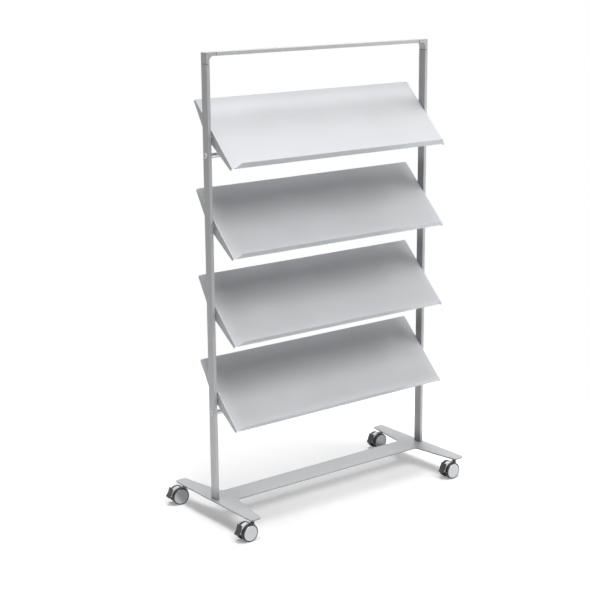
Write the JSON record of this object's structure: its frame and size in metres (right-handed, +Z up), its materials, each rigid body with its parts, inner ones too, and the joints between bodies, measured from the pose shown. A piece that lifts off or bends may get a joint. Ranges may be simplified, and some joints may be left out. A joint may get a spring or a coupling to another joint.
{
  "type": "periodical display rack",
  "caption": "Mobile display rack with sloping lipped shelves between two slim posts, on a flat H-shaped base with braked twin-wheel casters.",
  "frame": {"origin": "on the floor, midway between the two posts", "axes": "+Z up, +X to the right and -Y to the front, towards the shelves' lips"},
  "size_m": [1.0084, 0.4645, 1.583],
  "materials": {
    "frame_paint": "satin",
    "shelf_paint": "satin",
    "corner_plastic": "satin",
    "bright_steel": "brushed",
    "chrome": "polished",
    "hood_plastic": "satin",
    "black_plastic": "satin",
    "hub_plastic": "satin",
    "tyre_rubber": "matt",
    "cap_plastic": "satin"
  },
  "bodies": {
    "rack": {"base_plate": "frame_paint", "left_post": "frame_paint", "right_post": "frame_paint", "top_rail": "frame_paint", "left_corner": "corner_plastic", "right_corner": "corner_plastic", "upper_crossbar": "chrome", "lower_crossbar": "chrome", "crossbar_plugs": "bright_steel", "crossbar_bolts": "bright_steel", "post_plugs": "bright_steel", "base_screws": "bright_steel", "shelf_1": "shelf_paint", "shelf_2": "shelf_paint", "shelf_3": "shelf_paint", "shelf_4": "shelf_paint", "shelf_inserts": "bright_steel", "shelf_screws": "bright_steel", "caster_sockets": "frame_paint", "caster_stems": "bright_steel"},
    "front_left_caster": {"front_left_caster_hood": "hood_plastic", "front_left_swivel_bush": "black_plastic", "front_left_axle": "bright_steel"},
    "front_left_outer_wheel": {"front_left_outer_tyre": "tyre_rubber", "front_left_outer_hub": "hub_plastic", "front_left_outer_wheel_cap": "cap_plastic"},
    "front_left_inner_wheel": {"front_left_inner_tyre": "tyre_rubber", "front_left_inner_hub": "hub_plastic", "front_left_inner_wheel_cap": "cap_plastic"},
    "front_left_pedal": {"front_left_brake_pedal": "black_plastic"},
    "rear_left_caster": {"rear_left_caster_hood": "hood_plastic", "rear_left_swivel_bush": "black_plastic", "rear_left_axle": "bright_steel"},
    "rear_left_outer_wheel": {"rear_left_outer_tyre": "tyre_rubber", "rear_left_outer_hub": "hub_plastic", "rear_left_outer_wheel_cap": "cap_plastic"},
    "rear_left_inner_wheel": {"rear_left_inner_tyre": "tyre_rubber", "rear_left_inner_hub": "hub_plastic", "rear_left_inner_wheel_cap": "cap_plastic"},
    "rear_left_pedal": {"rear_left_brake_pedal": "black_plastic"},
    "rear_right_caster": {"rear_right_caster_hood": "hood_plastic", "rear_right_swivel_bush": "black_plastic", "rear_right_axle": "bright_steel"},
    "rear_right_outer_wheel": {"rear_right_outer_tyre": "tyre_rubber", "rear_right_outer_hub": "hub_plastic", "rear_right_outer_wheel_cap": "cap_plastic"},
    "rear_right_inner_wheel": {"rear_right_inner_tyre": "tyre_rubber", "rear_right_inner_hub": "hub_plastic", "rear_right_inner_wheel_cap": "cap_plastic"},
    "rear_right_pedal": {"rear_right_brake_pedal": "black_plastic"},
    "front_right_caster": {"front_right_caster_hood": "hood_plastic", "front_right_swivel_bush": "black_plastic", "front_right_axle": "bright_steel"},
    "front_right_outer_wheel": {"front_right_outer_tyre": "tyre_rubber", "front_right_outer_hub": "hub_plastic", "front_right_outer_wheel_cap": "cap_plastic"},
    "front_right_inner_wheel": {"front_right_inner_tyre": "tyre_rubber", "front_right_inner_hub": "hub_plastic", "front_right_inner_wheel_cap": "cap_plastic"},
    "front_right_pedal": {"front_right_brake_pedal": "black_plastic"}
  },
  "joints": [
    {"name": "front_left_swivel", "type": "hinge", "parent": "rack", "child": "front_left_caster", "pos_m": [-0.4582, -0.2046, 0.06], "axis": [0, 0, 1], "continuous": true},
    {"name": "front_left_outer_wheel_spin", "type": "hinge", "parent": "front_left_caster", "child": "front_left_outer_wheel", "pos_m": [-0.48149, -0.20541, 0.03], "axis": [-0.0349, 0.9994, 0], "continuous": true},
    {"name": "front_left_inner_wheel_spin", "type": "hinge", "parent": "front_left_caster", "child": "front_left_inner_wheel", "pos_m": [-0.48149, -0.20541, 0.03], "axis": [-0.0349, 0.9994, 0], "continuous": true},
    {"name": "front_left_brake", "type": "hinge", "parent": "front_left_caster", "child": "front_left_pedal", "pos_m": [-0.50004, -0.20606, 0.04614], "axis": [0.0349, -0.9994, 0], "range_deg": [0, 10]},
    {"name": "rear_left_swivel", "type": "hinge", "parent": "rack", "child": "rear_left_caster", "pos_m": [-0.4582, 0.2046, 0.06], "axis": [0, 0, 1], "continuous": true},
    {"name": "rear_left_outer_wheel_spin", "type": "hinge", "parent": "rear_left_caster", "child": "rear_left_outer_wheel", "pos_m": [-0.48125, 0.208, 0.03], "axis": [0.1461, 0.9893, 0], "continuous": true},
    {"name": "rear_left_inner_wheel_spin", "type": "hinge", "parent": "rear_left_caster", "child": "rear_left_inner_wheel", "pos_m": [-0.48125, 0.208, 0.03], "axis": [0.1461, 0.9893, 0], "continuous": true},
    {"name": "rear_left_brake", "type": "hinge", "parent": "rear_left_caster", "child": "rear_left_pedal", "pos_m": [-0.49962, 0.21072, 0.04614], "axis": [-0.1461, -0.9893, 0], "range_deg": [0, 10]},
    {"name": "rear_right_swivel", "type": "hinge", "parent": "rack", "child": "rear_right_caster", "pos_m": [0.4582, 0.2046, 0.06], "axis": [0, 0, 1], "continuous": true},
    {"name": "rear_right_outer_wheel_spin", "type": "hinge", "parent": "rear_right_caster", "child": "rear_right_outer_wheel", "pos_m": [0.43493, 0.20342, 0.03], "axis": [-0.0506, 0.9987, 0], "continuous": true},
    {"name": "rear_right_inner_wheel_spin", "type": "hinge", "parent": "rear_right_caster", "child": "rear_right_inner_wheel", "pos_m": [0.43493, 0.20342, 0.03], "axis": [-0.0506, 0.9987, 0], "continuous": true},
    {"name": "rear_right_brake", "type": "hinge", "parent": "rear_right_caster", "child": "rear_right_pedal", "pos_m": [0.41639, 0.20248, 0.04614], "axis": [0.0506, -0.9987, 0], "range_deg": [0, 10]},
    {"name": "front_right_swivel", "type": "hinge", "parent": "rack", "child": "front_right_caster", "pos_m": [0.4582, -0.2046, 0.06], "axis": [0, 0, 1], "continuous": true},
    {"name": "front_right_outer_wheel_spin", "type": "hinge", "parent": "front_right_caster", "child": "front_right_outer_wheel", "pos_m": [0.4349, -0.20505, 0.03], "axis": [-0.0192, 0.9998, 0], "continuous": true},
    {"name": "front_right_inner_wheel_spin", "type": "hinge", "parent": "front_right_caster", "child": "front_right_inner_wheel", "pos_m": [0.4349, -0.20505, 0.03], "axis": [-0.0192, 0.9998, 0], "continuous": true},
    {"name": "front_right_brake", "type": "hinge", "parent": "front_right_caster", "child": "front_right_pedal", "pos_m": [0.41634, -0.2054, 0.04614], "axis": [0.0192, -0.9998, 0], "range_deg": [0, 10]}
  ]
}
